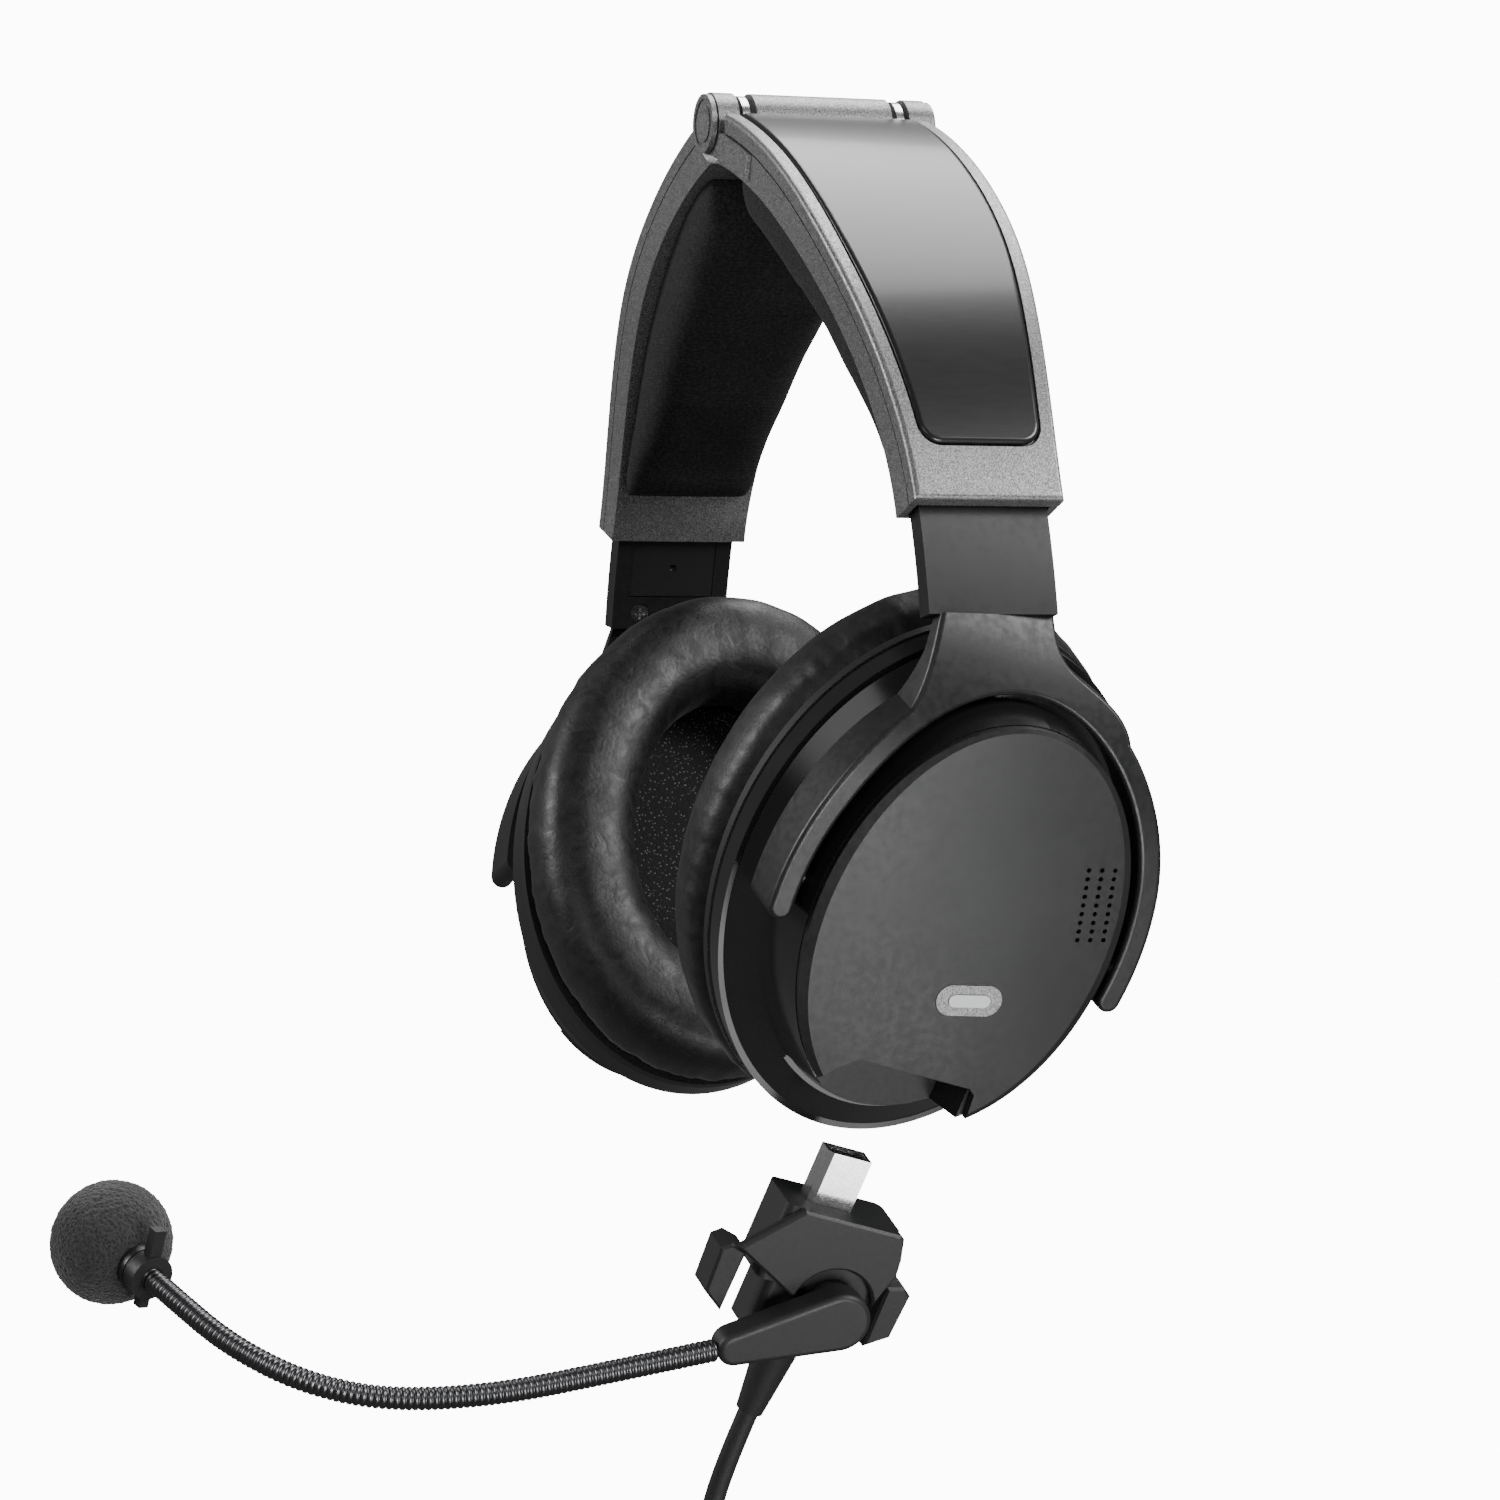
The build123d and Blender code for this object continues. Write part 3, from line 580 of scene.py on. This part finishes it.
def ribbed_neck(material):
    """Flexible metal neck wound from a rounded strip."""
    start = on_cup(-15.0, -88.1, 43.1)
    spacing = NECK_PITCH / NECK_POINTS_PER_RIB * MM
    points = spline_points([start] + in_metres(NECK_ROUTE), spacing)
    turns = [math.pi * i / NECK_POINTS_PER_RIB for i in range(len(points))]
    radii = [(NECK_R - 0.34 + 0.36 * abs(math.sin(turn)) ** 0.7) * MM for turn in turns]
    neck = mesh_object("ribbed_neck", sweep_rows(points, radii, 18), material, closed=False)
    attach(neck, "boom")
    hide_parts("gooseneck")


# ---- cable ----

def coil_place(turned):
    """Where the cable lies in its coil after turning this many degrees."""
    across, radius = COIL_SLOTS[0]
    for step, shift in enumerate(COIL_SHIFTS):
        centre = 360 * (step + 1) - shift
        f = min(1.0, max(0.0, (turned - centre + COIL_CHANGE / 2) / COIL_CHANGE))
        f = f * f * (3 - 2 * f)
        across += (COIL_SLOTS[step + 1][0] - COIL_SLOTS[step][0]) * f
        radius += (COIL_SLOTS[step + 1][1] - COIL_SLOTS[step][1]) * f
    a = math.radians(180 + turned)
    x, y, z = COIL_CENTRE
    return x + across, y + radius * math.cos(a), z + radius * math.sin(a)


def cable(material):
    """The lead, its stored coil and its tail, as one cord."""
    start = on_cup(1.7, -102.0, 33.0)
    ahead = on_cup(1.7, -112.0, 33.0)
    turns = [coil_place(360 * i / COIL_STEPS) for i in range(COIL_TURNS * COIL_STEPS + 1)]
    route = [tuple(start), tuple(ahead)] + in_metres(LEAD_ROUTE + turns + TAIL_ROUTE)
    cord = spline_object("cable", route)
    cord.data.bevel_depth = CABLE_D / 2 * MM
    cord.data.bevel_resolution = 5
    cord.data.use_fill_caps = True
    cord.data.materials.append(material)
    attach(cord, "mic_module")
    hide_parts("cable_lead", "cable_coil", "cable_tail")


add_camera()
add_studio()
finishes = dress_nodes()
cable(finishes["cable_jacket"])
for cup_side in (1, -1):
    ear_cushion(cup_side, finishes["ear_leather"])
    head_pad(cup_side, finishes["pad_fabric"])
foam_ball(finishes["foam_black"])
ribbed_neck(finishes["gunmetal"])
